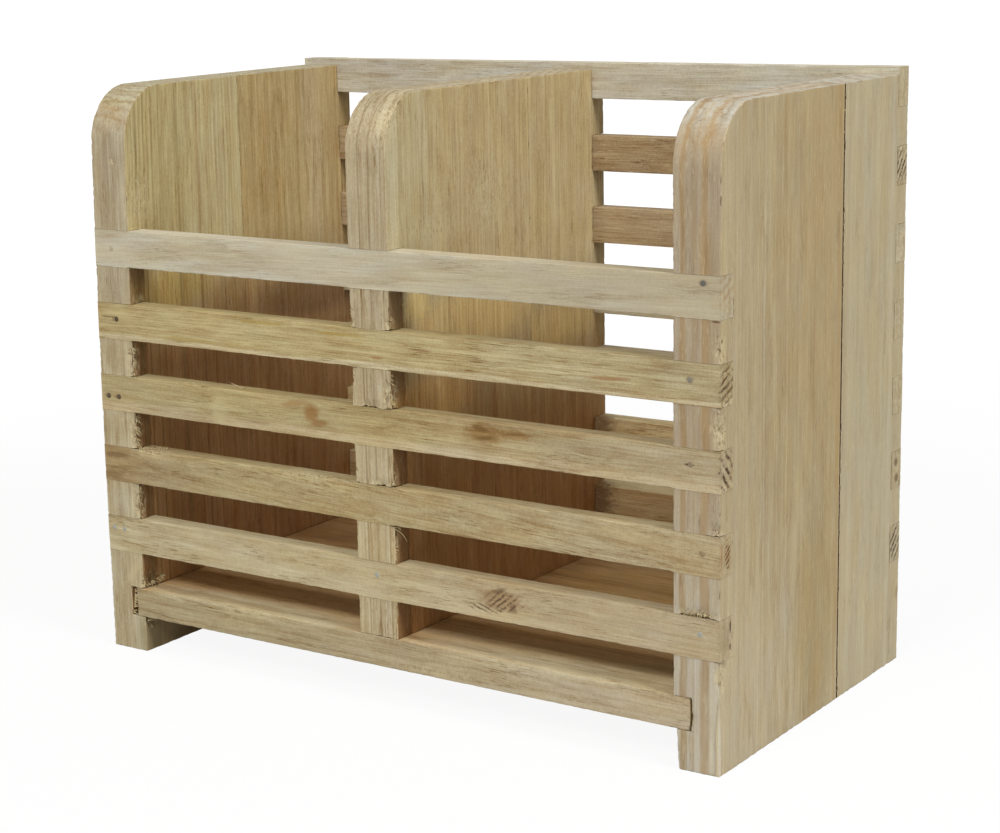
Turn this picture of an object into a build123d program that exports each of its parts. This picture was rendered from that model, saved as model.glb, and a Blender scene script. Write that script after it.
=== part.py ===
from build123d import *
import os

# A two-bay caddy of rough hardwood boards. Two sides and a divider stand upright, a floor is
# housed in the sides above short feet, and slats are let in flush across the front and the back.
# Millimetres. +X runs along the slats to the right, +Y to the back, +Z up. The origin is at the
# middle of the footprint, on the surface that the feet stand on.

# ---- driving dimensions ----
UPRIGHT_T = 19.5            # thickness of each side and of the divider
LEFT_BAY_W = 120.0          # clear width from the left side to the divider
RIGHT_BAY_W = 127.5         # clear width from the divider to the right side
DEPTH = 162.0               # front to back, flush slats included
TOP_CORNER_R = 23.0         # rounding of each upright's top front corner

FOOT_H = 16.0               # from the ground to the floor's underside
FLOOR_T = 13.0
DADO_DEPTH = 7.5            # housing of the floor in each side
DADO_CLEARANCE = 0.2        # above and below the floor in its housing
FLOOR_GAP_LEFT = 3.0        # the floor stops this short of the left housing's wall
FLOOR_GAP_RIGHT = 0.5

SLAT_H = 16.0
SLAT_T = 9.5
SLAT_GAP = 16.0             # between slats, and between the floor and the lowest slats
FRONT_SLATS = 5
BACK_SLATS = 7
TOP_SLAT_PROUD = 3.0        # the highest back slat stands this far above the uprights
NOTCH_CLEARANCE = 0.2       # above and below a slat in its notch

LEFT_FRONT_BOARD_W = 78.5   # widths of the front board in each edge-joined pair
DIVIDER_FRONT_BOARD_W = 101.5
RIGHT_FRONT_BOARD_W = 101.5
FLOOR_FRONT_BOARD_W = 92.0
OPEN_SEAM = 0.6             # the right side's joint has opened by this much
EDGE_EASE = 0.8             # rounding of the long edges that a hand meets

BRAD_HEAD_R = 1.15
BRAD_HEAD_T = 0.9
BRAD_SHANK_R = 0.65
BRAD_LENGTH = 25.0
BRAD_HOLE_CLEARANCE = 0.05

# Brads seen in the front slats: the slat, the upright it is nailed to, and the offsets to the
# right of the upright's middle and above the slat's middle.
FRONT_BRADS = (
    ("front_slat_1", "left", -0.2, 0.0),
    ("front_slat_1", "right", 2.5, 5.0),
    ("front_slat_2", "left", 1.0, 1.0),
    ("front_slat_2", "right", -2.8, 1.3),
    ("front_slat_3", "left", -5.6, -1.6),
    ("front_slat_3", "left", 0.4, -1.6),
    ("front_slat_3", "right", -2.6, 1.9),
    ("front_slat_4", "right", 2.2, 0.7),
    ("front_slat_5", "left", -6.2, 2.4),
    ("front_slat_5", "left", -0.2, 2.3),
    ("front_slat_5", "divider", -0.2, 2.1),
    ("front_slat_5", "right", 1.4, 1.5),
)

# ---- sizes that follow ----
WIDTH = 3 * UPRIGHT_T + LEFT_BAY_W + RIGHT_BAY_W
LEFT_X = -WIDTH / 2
DIVIDER_X = LEFT_X + UPRIGHT_T + LEFT_BAY_W
RIGHT_X = WIDTH / 2 - UPRIGHT_T
UPRIGHT_X = {"left": LEFT_X, "divider": DIVIDER_X, "right": RIGHT_X}

FRONT_Y = -DEPTH / 2
BACK_Y = DEPTH / 2

FLOOR_TOP_Z = FOOT_H + FLOOR_T
SLAT_PITCH = SLAT_H + SLAT_GAP
LOWEST_SLAT_Z = FLOOR_TOP_Z + SLAT_GAP


def slat_bottoms(wall, count):
    """Heights of the undersides of a wall's slats, numbered from the top slat down."""
    return {f"{wall}_slat_{n}": LOWEST_SLAT_Z + SLAT_PITCH * (count - n) for n in range(1, count + 1)}


FRONT_SLAT_Z = slat_bottoms("front", FRONT_SLATS)
BACK_SLAT_Z = slat_bottoms("back", BACK_SLATS)
UPRIGHT_TOP_Z = max(BACK_SLAT_Z.values()) + SLAT_H - TOP_SLAT_PROUD


def block(x_range, y_range, z_range):
    """A box between two limits along each axis."""
    size = [high - low for low, high in (x_range, y_range, z_range)]
    corner = (x_range[0], y_range[0], z_range[0])
    return Pos(*corner) * Box(*size, align=(Align.MIN, Align.MIN, Align.MIN))


def eased_along_x(solid, *free_faces_y):
    """Round the long edges of a board that runs from side to side, at its free faces."""
    free_edges = [
        edge
        for edge in solid.edges().filter_by(Axis.X)
        if any(abs(edge.center().Y - y) < EDGE_EASE for y in free_faces_y)
    ]
    return fillet(free_edges, EDGE_EASE)


def eased_front_corners(solid):
    """Round the edges of a front board that go up its front face and over its top corner."""
    front_and_arc = [
        edge
        for edge in solid.edges()
        if abs(edge.tangent_at(0.5).X) < 0.5 and edge.center().Y < FRONT_Y + TOP_CORNER_R / 2
        and edge.center().Z > FOOT_H
    ]
    return fillet(front_and_arc, EDGE_EASE)


def front_board(x, width, bottom_z):
    """The front board of an upright, with its top front corner rounded."""
    board = block((x, x + UPRIGHT_T), (FRONT_Y, FRONT_Y + width), (bottom_z, UPRIGHT_TOP_Z))
    top_front_edge = board.edges().filter_by(Axis.X).group_by(Axis.Z)[-1].sort_by(Axis.Y)[0]
    board = eased_front_corners(fillet(top_front_edge, TOP_CORNER_R))
    return board - notches(x, FRONT_SLAT_Z.values(), FRONT_Y)


def rear_board(x, front_width, seam, bottom_z):
    """The rear board of an upright, behind a front board and the seam between them."""
    board = block((x, x + UPRIGHT_T), (FRONT_Y + front_width + seam, BACK_Y), (bottom_z, UPRIGHT_TOP_Z))
    back_edges = board.edges().filter_by(Axis.Z).group_by(Axis.Y)[-1]
    return fillet(back_edges, EDGE_EASE) - notches(x, BACK_SLAT_Z.values(), BACK_Y - SLAT_T)


def notches(x, slat_heights, y):
    """Cutters for the notches that take a wall's slats in one upright."""
    return [
        block(
            (x, x + UPRIGHT_T),
            (y, y + SLAT_T),
            (z - NOTCH_CLEARANCE, z + SLAT_H + NOTCH_CLEARANCE),
        )
        for z in slat_heights
    ]


def floor_housing(inner_x, into_board):
    """Cutter for a side's housing, from its inner face into the board (+1 right, -1 left)."""
    x_range = sorted((inner_x, inner_x + into_board * DADO_DEPTH))
    z_range = (FOOT_H - DADO_CLEARANCE, FLOOR_TOP_Z + DADO_CLEARANCE)
    return block(x_range, (FRONT_Y, BACK_Y), z_range)


def floor_board(front_y, back_y, free_face_y):
    """One board of the floor, which ends inside both housings."""
    left_x = LEFT_X + UPRIGHT_T - DADO_DEPTH + FLOOR_GAP_LEFT
    right_x = RIGHT_X + DADO_DEPTH - FLOOR_GAP_RIGHT
    board = block((left_x, right_x), (front_y, back_y), (FOOT_H, FLOOR_TOP_Z))
    return eased_along_x(board, free_face_y)


def slat(bottom_z, y):
    """A slat across the whole width, with its front face at y."""
    board = block((LEFT_X, LEFT_X + WIDTH), (y, y + SLAT_T), (bottom_z, bottom_z + SLAT_H))
    return eased_along_x(board, y, y + SLAT_T)


def brad(x, z, face_y, inwards, clearance=0.0):
    """A brad with its head flush in a slat's face. inwards is +1 at the front, -1 at the back."""
    head_radius = BRAD_HEAD_R + clearance
    shank_radius = BRAD_SHANK_R + clearance
    start = Plane(origin=(x, face_y, z), z_dir=(0, inwards, 0))
    align = (Align.CENTER, Align.CENTER, Align.MIN)
    head = Cylinder(head_radius, BRAD_HEAD_T + clearance, align=align)
    shank = Cylinder(shank_radius, BRAD_LENGTH + clearance, align=align)
    return start * (head + shank)


def front_brads(clearance=0.0):
    """The brads of the front slats, or the holes for them when given a clearance."""
    return [
        brad(
            UPRIGHT_X[upright] + UPRIGHT_T / 2 + right,
            FRONT_SLAT_Z[slat_name] + SLAT_H / 2 + up,
            FRONT_Y,
            1,
            clearance,
        )
        for slat_name, upright, right, up in FRONT_BRADS
    ]


def back_brads(clearance=0.0):
    """One brad at each end of each back slat, or the holes for them when given a clearance."""
    return [
        brad(UPRIGHT_X[upright] + UPRIGHT_T / 2, z + SLAT_H / 2, BACK_Y, -1, clearance)
        for z in BACK_SLAT_Z.values()
        for upright in ("left", "right")
    ]


def uprights():
    """The six boards of the sides and the divider, before their brad holes."""
    left_housing = floor_housing(LEFT_X + UPRIGHT_T, -1)
    right_housing = floor_housing(RIGHT_X, 1)
    left_front = front_board(LEFT_X, LEFT_FRONT_BOARD_W, 0)
    left_rear = rear_board(LEFT_X, LEFT_FRONT_BOARD_W, 0, 0)
    right_front = front_board(RIGHT_X, RIGHT_FRONT_BOARD_W, 0)
    right_rear = rear_board(RIGHT_X, RIGHT_FRONT_BOARD_W, OPEN_SEAM, 0)
    return {
        "left_side_front_board": left_front - left_housing,
        "left_side_rear_board": left_rear - left_housing,
        "divider_front_board": front_board(DIVIDER_X, DIVIDER_FRONT_BOARD_W, FLOOR_TOP_Z),
        "divider_rear_board": rear_board(DIVIDER_X, DIVIDER_FRONT_BOARD_W, 0, FLOOR_TOP_Z),
        "right_side_front_board": right_front - right_housing,
        "right_side_rear_board": right_rear - right_housing,
    }


def slats():
    """The slats of both walls, numbered from the top."""
    front = {name: slat(z, FRONT_Y) for name, z in FRONT_SLAT_Z.items()}
    back = {name: slat(z, BACK_Y - SLAT_T) for name, z in BACK_SLAT_Z.items()}
    return front | back


def floor():
    """The two boards of the floor."""
    joint_y = FRONT_Y + FLOOR_FRONT_BOARD_W
    return {
        "floor_front_board": floor_board(FRONT_Y, joint_y, FRONT_Y),
        "floor_rear_board": floor_board(joint_y, BACK_Y, BACK_Y),
    }


def drilled(boards):
    """The boards with the brad holes that reach them."""
    front_holes = front_brads(BRAD_HOLE_CLEARANCE)
    back_holes = back_brads(BRAD_HOLE_CLEARANCE)
    result = {}
    for name, board in boards.items():
        limits = board.bounding_box()
        holes = [
            hole
            for hole in front_holes + back_holes
            if limits.min.X < hole.center().X < limits.max.X
            and limits.min.Z < hole.center().Z < limits.max.Z
            and hole.bounding_box().max.Y > limits.min.Y
            and hole.bounding_box().min.Y < limits.max.Y
        ]
        result[name] = board - holes if holes else board
    return result


nodes = drilled(uprights() | slats())
nodes |= floor()
nodes["front_brads"] = Compound(children=front_brads())
nodes["back_brads"] = Compound(children=back_brads())

os.makedirs("parts", exist_ok=True)
for name, shape in nodes.items():
    export_step(shape, f"parts/{name}.step")
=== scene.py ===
from math import ceil, cos, pi, radians, sin

import bpy
import numpy as np
from mathutils import Matrix, Vector, noise


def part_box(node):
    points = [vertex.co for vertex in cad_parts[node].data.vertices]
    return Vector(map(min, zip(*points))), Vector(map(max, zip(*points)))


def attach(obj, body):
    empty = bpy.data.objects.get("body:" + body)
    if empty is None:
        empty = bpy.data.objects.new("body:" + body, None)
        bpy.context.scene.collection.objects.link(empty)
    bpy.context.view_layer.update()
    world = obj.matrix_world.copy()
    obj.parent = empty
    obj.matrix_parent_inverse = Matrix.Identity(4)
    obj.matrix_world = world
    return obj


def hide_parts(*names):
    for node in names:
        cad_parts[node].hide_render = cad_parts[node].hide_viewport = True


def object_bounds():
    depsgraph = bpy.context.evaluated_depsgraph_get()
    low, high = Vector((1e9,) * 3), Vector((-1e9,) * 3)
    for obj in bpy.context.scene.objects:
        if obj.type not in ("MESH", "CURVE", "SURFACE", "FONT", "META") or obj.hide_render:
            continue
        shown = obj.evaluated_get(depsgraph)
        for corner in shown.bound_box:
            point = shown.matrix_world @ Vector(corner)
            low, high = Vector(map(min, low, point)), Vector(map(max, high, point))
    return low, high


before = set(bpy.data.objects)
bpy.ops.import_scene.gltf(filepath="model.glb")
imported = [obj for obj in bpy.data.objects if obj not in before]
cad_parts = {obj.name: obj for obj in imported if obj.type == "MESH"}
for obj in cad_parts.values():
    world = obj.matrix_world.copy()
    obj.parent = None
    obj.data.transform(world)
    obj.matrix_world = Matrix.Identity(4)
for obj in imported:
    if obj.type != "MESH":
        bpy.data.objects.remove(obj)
cad_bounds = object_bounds()

# A two-bay caddy of raw hardwood boards and slats. Metres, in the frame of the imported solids:
# +X along the slats to the right, +Y to the back, +Z up, the origin at the middle of the
# footprint. MM turns the sizes below, written in millimetres, into metres.
MM = 0.001

# ---- sizes that the solids' boxes don't give ----
TOP_CORNER_R = 23 * MM        # rounding of the uprights' top front corners
NOTCH_CLEARANCE = 0.03 * MM   # above and below a slat in its notch, where it shows
HOUSING_GAP = {"left": 3 * MM, "right": 0.5 * MM}   # from the floor's end to the housing's wall
CELL = 2 * MM                 # longest cell of a mesh along each axis
SLAT_CELLS = (CELL, 1.6 * MM, 1.6 * MM)
UPRIGHT_CELLS = (1.3 * MM, CELL, 1.3 * MM)
ARRIS = 0.4 * MM              # width of the eased strip along a sharp edge
TINY = 1e-6                   # places or shares that differ by less than this are the same
SHADE_ANGLE = radians(60)     # edges that turn less than this are shaded smoothly
LEAN = 3.4 * MM               # the left side's front edge leans inwards by this much at the top
LEAN_REACH = 60 * MM          # and the slats' ends lean with it, less and less over this length
SKEW = 2.5 * MM               # the divider's back edge stands this far to the right of true
BACK_RECESS = 3 * MM          # the left side's back edges lie this far in from the slats' faces
SEAM_GAPE = 0.35 * MM         # the right side's seam gapes by this much at its top
SEAM_SPREAD = 1.1 * MM        # and by this much more at its foot
FOOT_STEP = 1.3 * MM          # the right foot is thinner than the side above by this much
FOOT_TAPER = 0.9 * MM         # and loses this much more towards the ground
FOOT_ARRIS = 6 * MM           # the same foot's worn front corner reaches this far
HUMP = 1.7 * MM               # the lowest back slat's top climbs by this much beside the divider
HUMP_RISE = (5 * MM, 9 * MM)  # the stretches along X where the hump starts and where it ends
HUMP_FALL = (52 * MM, 90 * MM)

FRONT_SLATS = [f"front_slat_{n}" for n in range(1, 6)]
BACK_SLATS = [f"back_slat_{n}" for n in range(1, 8)]

# Planes that the looks below refer to, in millimetres.
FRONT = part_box("front_slat_1")[0].y / MM             # Y of the front faces
END_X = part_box("front_slat_1")[1].x / MM             # X of the slats' right ends
LEFT_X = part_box("left_side_front_board")[1].x / MM   # X of the left side's inner face


# ---- meshes ----

def grid_lines(low, high, cuts, cell):
    """Grid lines between two limits, with a close line beside each limit and each cut."""
    stops = sorted({round(v, 7) for v in (low, high, *cuts) if low <= v <= high})
    lines = []
    for start, end in zip(stops, stops[1:]):
        ease = min(ARRIS, (end - start) / 3)
        count = max(1, ceil((end - start - 2 * ease) / cell))
        lines += [start, *np.linspace(start + ease, end - ease, count + 1)]
    return np.array(lines + [stops[-1]])


def skin(lines, keep):
    """The outer faces of a grid's kept cells: points, quads, outward signs, cells at each point."""
    counts = [len(line) for line in lines]
    padded = np.pad(keep, 1).astype(int)
    index = np.arange(np.prod(counts)).reshape(counts)
    quads = []
    for axis in range(3):
        inner = [slice(1, -1)] * 3
        inner[axis] = slice(None)
        change = np.diff(padded[tuple(inner)], axis=axis)
        for sign in (1, -1):
            cell = np.argwhere(change == -sign)
            corners = []
            for along, across in ((0, 0), (1, 0), (1, 1), (0, 1)):
                corner = cell.copy()
                corner[:, (axis + 1) % 3] += along
                corner[:, (axis + 2) % 3] += across
                corners.append(index[tuple(corner.T)])
            quads.append(np.stack(corners[::sign], axis=1))
    quads = np.concatenate(quads)
    around = np.zeros(counts, int)
    outward = np.zeros((*counts, 3), int)
    for step in np.ndindex(2, 2, 2):
        cells = padded[tuple(slice(s, s + n) for s, n in zip(step, counts))]
        around += cells
        outward -= cells[..., None] * (2 * np.array(step) - 1)
    used, quads = np.unique(quads, return_inverse=True)
    places = np.stack(np.meshgrid(*lines, indexing="ij"), axis=-1).reshape(-1, 3)
    outward = np.sign(outward).reshape(-1, 3)
    return places[used], quads.reshape(-1, 4), outward[used].astype(float), around.reshape(-1)[used]


def noise_at(points, size, seed, octaves=1):
    """Smooth noise from -1 to 1 at each point. size is its grain in metres along X, Y and Z."""
    shift = Vector((seed * 7.3, seed * 3.1, seed * 5.7))
    scaled = points / np.array(size)
    return np.array([noise.fractal(Vector(p) + shift, 0.6, 2.1, octaves) for p in scaled])


def ramp(values, low, high):
    """0 below low, 1 above high, and a smooth step between."""
    t = np.clip((values - low) / (high - low), 0, 1)
    return t * t * (3 - 2 * t)


def settled(points):
    """Points moved as the left side's front edge leans: most at its top."""
    low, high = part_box("left_side_front_board")
    x, y, z = points.T
    share = 1 - ramp(x, high.x, high.x + LEAN_REACH)
    share = share * np.clip((high.y - y) / (high.y - low.y), 0, 1)
    share = share * np.clip(z / high.z, 0, 1) ** 2.7
    return points + np.outer(share * LEAN, (1, 0, 0))


def skewed(points, outward):
    """The divider isn't quite square to the slats."""
    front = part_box("divider_front_board")[0].y
    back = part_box("divider_rear_board")[1].y
    return points + np.outer((points[:, 1] - front) / (back - front) * SKEW, (1, 0, 0))


def mesh_piece(name, points, faces, material, smooth=True):
    """A new object from points and faces, in the frame."""
    mesh = bpy.data.meshes.new(name)
    mesh.from_pydata([tuple(p) for p in points], [], [tuple(int(i) for i in f) for f in faces])
    mesh.validate()
    if smooth:
        mesh.shade_smooth()
        mesh.set_sharp_from_angle(angle=SHADE_ANGLE)
    mesh.materials.append(material)
    piece = bpy.data.objects.new(name, mesh)
    bpy.context.scene.collection.objects.link(piece)
    if smooth:
        # Large faces decide the shading, so that each arris catches the light in a thin line only.
        flat = piece.modifiers.new("flat_faces", "WEIGHTED_NORMAL")
        flat.keep_sharp = True
    return piece


def rounded_corner(points, outward, centre):
    """Bend a board's square top front corner into an arc about centre (y, z)."""
    y = (centre[0] - points[:, 1]) / TOP_CORNER_R
    z = (points[:, 2] - centre[1]) / TOP_CORNER_R
    inside = (y > TINY) & (z > TINY)
    radius = np.maximum(y, z)
    angle = np.where(y >= z, z / np.maximum(y, TINY), 2 - y / np.maximum(z, TINY)) * pi / 4
    direction = np.stack([np.zeros_like(y), -np.cos(angle), np.sin(angle)], axis=1)
    bent = points.copy()
    bent[:, 1] = centre[0] - radius * np.cos(angle) * TOP_CORNER_R
    bent[:, 2] = centre[1] + radius * np.sin(angle) * TOP_CORNER_R
    rim = inside & (radius > 1 - TINY)
    side = outward * (1, 0, 0)
    turned = outward.copy()
    turned[inside] = side[inside]
    turned[rim] += direction[rim]
    return np.where(inside[:, None], bent, points), turned


def worn(points, outward, around, grain, seed, ease, waves, chips, held):
    """Points pushed inwards: eased and chipped at the arrises, wavy on the faces.

    held is 1 for the points inside joints, where the arrises have stayed crisp.
    """
    along = {0: np.array((9, 1, 1)), 2: np.array((1, 1, 9))}[grain]
    faces_met = (np.abs(outward) > TINY).sum(axis=1)
    edges = (faces_met >= 2) & (around < 4)
    wave = 0.5 + 0.5 * noise_at(points, 6 * MM * along, seed)
    fine = 0.5 + 0.5 * noise_at(points, 1.6 * MM * along / 2, seed + 1)
    chip = noise_at(points, (2.6 * MM,) * 3, seed + 2, octaves=3)
    loose = 1 - 0.85 * held
    depth = np.where(edges, loose * ease * (0.12 + 0.3 * wave), waves * (0.6 * wave + 0.4 * fine))
    depth = depth + np.where(edges, loose * chips * np.clip(chip - 0.1, 0, 1) ** 1.5, 0)
    return points - outward * depth[:, None]


def torn_out(points, outward, tears, seed):
    """Points pushed in where the saw has torn fibres out. A tear is a (centre, radii, depth)."""
    moved = points.copy()
    for centre, radii, depth in tears:
        reach = np.linalg.norm((points / MM - centre) / radii, axis=1)
        near = reach < 1
        rough = 0.15 + np.abs(noise_at(points[near], (2.2 * MM, 2.2 * MM, 5 * MM), seed + 5, octaves=2))
        push = depth * MM * rough * np.minimum(1, 2 * (1 - reach[near]))
        moved[near] -= outward[near] * push[:, None]
    return moved


def within(points, axis, ranges):
    """1 for the points that one of the ranges along an axis takes in, or else 0."""
    place = points[:, axis]
    taken = [(place > low - TINY) & (place < high + TINY) for low, high in ranges]
    return np.any(taken, axis=0).astype(float) if taken else np.zeros(len(points))


def block(name, material, seed, cells, cuts=(), corner=None, grain=0, ease=ARRIS,
          waves=0.15 * MM, chips=0.9 * MM, tears=(), shape=None, extra=(), joints=(0, ())):
    """A detailed mesh in place of a node: its box less the cuts, each a (low, high) pair.

    extra are more grid lines across Y. joints are an axis and the ranges of the joints along it.
    """
    low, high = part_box(name)
    limits = [[c[end][axis] for c in cuts for end in (0, 1)] for axis in range(3)]
    if corner:
        limits[1].append(corner[0])
        limits[2].append(corner[1])
    limits[1] += extra
    lines = [grid_lines(low[axis], high[axis], limits[axis], cells[axis]) for axis in range(3)]
    middles = [(line[1:] + line[:-1]) / 2 for line in lines]
    x, y, z = np.meshgrid(*middles, indexing="ij")
    keep = np.ones(x.shape, bool)
    for cut_low, cut_high in cuts:
        inside = (x > cut_low[0]) & (x < cut_high[0]) & (y > cut_low[1]) & (y < cut_high[1])
        keep &= ~(inside & (z > cut_low[2]) & (z < cut_high[2]))
    points, quads, outward, around = skin(lines, keep)
    if corner:
        points, outward = rounded_corner(points, outward, corner)
    if shape:
        points = shape(points, outward)
    held = within(points, *joints)
    points = worn(points, outward, around, grain, seed, ease, waves, chips, held)
    points = torn_out(points, outward, tears, seed)
    piece = mesh_piece(name + "_wood", settled(points), quads, material)
    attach(piece, "root")
    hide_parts(name)
    return piece


# ---- materials ----

def linear(colour):
    """A colour written as 0xRRGGBB, in sRGB, as scene-linear values."""
    share = [c / 255 for c in colour.to_bytes(3, "big")]
    return [c / 12.92 if c <= 0.04045 else ((c + 0.055) / 1.055) ** 2.4 for c in share]


class Shader:
    """The nodes of a material or a world. Most calls add nodes and return an output socket."""

    def __init__(self, owner):
        self.owner = owner
        owner.use_nodes = True
        self.tree = owner.node_tree
        self.tree.nodes.clear()

    def add(self, kind, inputs, output=0, **settings):
        node = self.tree.nodes.new("ShaderNode" + kind)
        for key, value in settings.items():
            setattr(node, key, value)
        for key, value in inputs.items():
            if isinstance(value, bpy.types.NodeSocket):
                self.tree.links.new(value, node.inputs[key])
            else:
                node.inputs[key].default_value = value
        return node.outputs[output]

    def math(self, operation, a, b=0, c=0):
        return self.add("Math", {0: a, 1: b, 2: c}, operation=operation)

    def times(self, a, b):
        return self.math("MULTIPLY", a, b)

    def plus(self, total, *values):
        for value in values:
            total = self.math("ADD", total, value)
        return total

    def line(self, value, slope, offset):
        return self.math("MULTIPLY_ADD", value, slope, offset)

    def around(self, value, amount):
        """A value from 0 to 1 as one from minus half the amount to plus half of it."""
        return self.line(value, amount, -amount / 2)

    def vector(self, operation, a, b=(0, 0, 0), c=(0, 0, 0), output=0):
        return self.add("VectorMath", {0: a, 1: b, 2: c}, output, operation=operation)

    def dot(self, a, direction):
        return self.vector("DOT_PRODUCT", a, direction, output="Value")

    def length(self, a):
        return self.vector("LENGTH", a, output="Value")

    def part(self, place, axis):
        """The part of a place that lies along X (0), Y (1) or Z (2)."""
        return self.add("SeparateXYZ", {0: place}, axis)

    def turned(self, place, axis, degrees):
        inputs = {"Vector": place, "Axis": axis, "Angle": radians(degrees)}
        return self.add("VectorRotate", inputs, rotation_type="AXIS_ANGLE")

    def millimetres(self):
        """The place in the frame, in millimetres."""
        inputs = {0: self.add("TexCoord", {}, "Object"), "Scale": 1 / MM}
        return self.add("VectorMath", inputs, operation="SCALE")

    def noise(self, place, size, detail=2, roughness=0.5):
        """Noise from 0 to 1 whose grain is size, in millimetres along X, Y and Z."""
        scaled = self.vector("DIVIDE", place, size)
        inputs = {"Vector": scaled, "Scale": 1, "Detail": detail, "Roughness": roughness}
        return self.add("TexNoise", inputs)

    def between(self, value, low, high, start=0, end=1):
        """A smooth step from start to end as value goes from low to high."""
        inputs = {"Value": value, "From Min": low, "From Max": high, "To Min": start, "To Max": end}
        return self.add("MapRange", inputs, interpolation_type="SMOOTHSTEP")

    def mix(self, share, a, b):
        a, b = (c if isinstance(c, bpy.types.NodeSocket) else (*linear(c), 1) for c in (a, b))
        return self.add("Mix", {0: share, 6: a, 7: b}, 2, data_type="RGBA")

    def tinted(self, colour, mask, strength, tint):
        return self.mix(self.times(mask, strength), colour, tint)

    def tinged(self, colour, change, amount):
        """A colour whose red, green and blue grow by a change times an amount."""
        growth = self.vector("MULTIPLY_ADD", change, amount, (1, 1, 1))
        return self.vector("MULTIPLY", colour, growth)

    def stops(self, value, stops):
        """A colour ramp. Each stop is a place from 0 to 1 and a colour."""
        colour = self.add("ValToRGB", {0: value})
        ramp = colour.node.color_ramp
        ramp.interpolation = "B_SPLINE" if len(stops) > 2 else "EASE"
        while len(ramp.elements) < len(stops):
            ramp.elements.new(0.5)
        for element, (place, tone) in zip(ramp.elements, stops):
            element.position = place
            element.color = (*linear(tone), 1)
        return colour

    def surface(self, colour, roughness, height, depth, specular, metallic=0):
        """The principled shader, with bump of the given depth in metres."""
        inputs = {
            "Base Color": colour,
            "Roughness": roughness,
            "Metallic": metallic,
            "Specular IOR Level": specular,
            "Normal": self.add("Bump", {"Strength": 1, "Distance": depth, "Height": height}),
        }
        return self.output("Material", self.add("BsdfPrincipled", inputs))

    def output(self, kind, surface):
        """Lead a surface to the output, and return the material or world."""
        node = self.tree.nodes.new("ShaderNodeOutput" + kind)
        self.tree.links.new(surface, node.inputs["Surface"])
        return self.owner


FRONT_FACE = (0, -1, 0)
BACK_FACE = (0, 1, 0)
RIGHT_FACE = (1, 0, 0)
TOP_FACE = (0, 0, 1)
END_FACE = {0: RIGHT_FACE, 2: TOP_FACE}   # where end grain shows, by the axis of the fibres
END_RING_DEPTH = {0: 0.15, 2: 0.3}        # and how dark the growth rings are there

BROWN = 0x967046
DARK = 0x60462E
UMBER = 0x463222
DRY = 0xCCC0A0
FIBRE = 0xC1B38F       # pale fibres and dark pits, where the saw has torn the wood
PIT = 0x705436
DARKER_FIBRE = (-0.75, -1, -1.3)   # how a darker fibre changes red, green and blue
GOLDEN_PATCH = (0.12, 0.02, -0.28)   # how a golden patch does, and a grey one the other way


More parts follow.
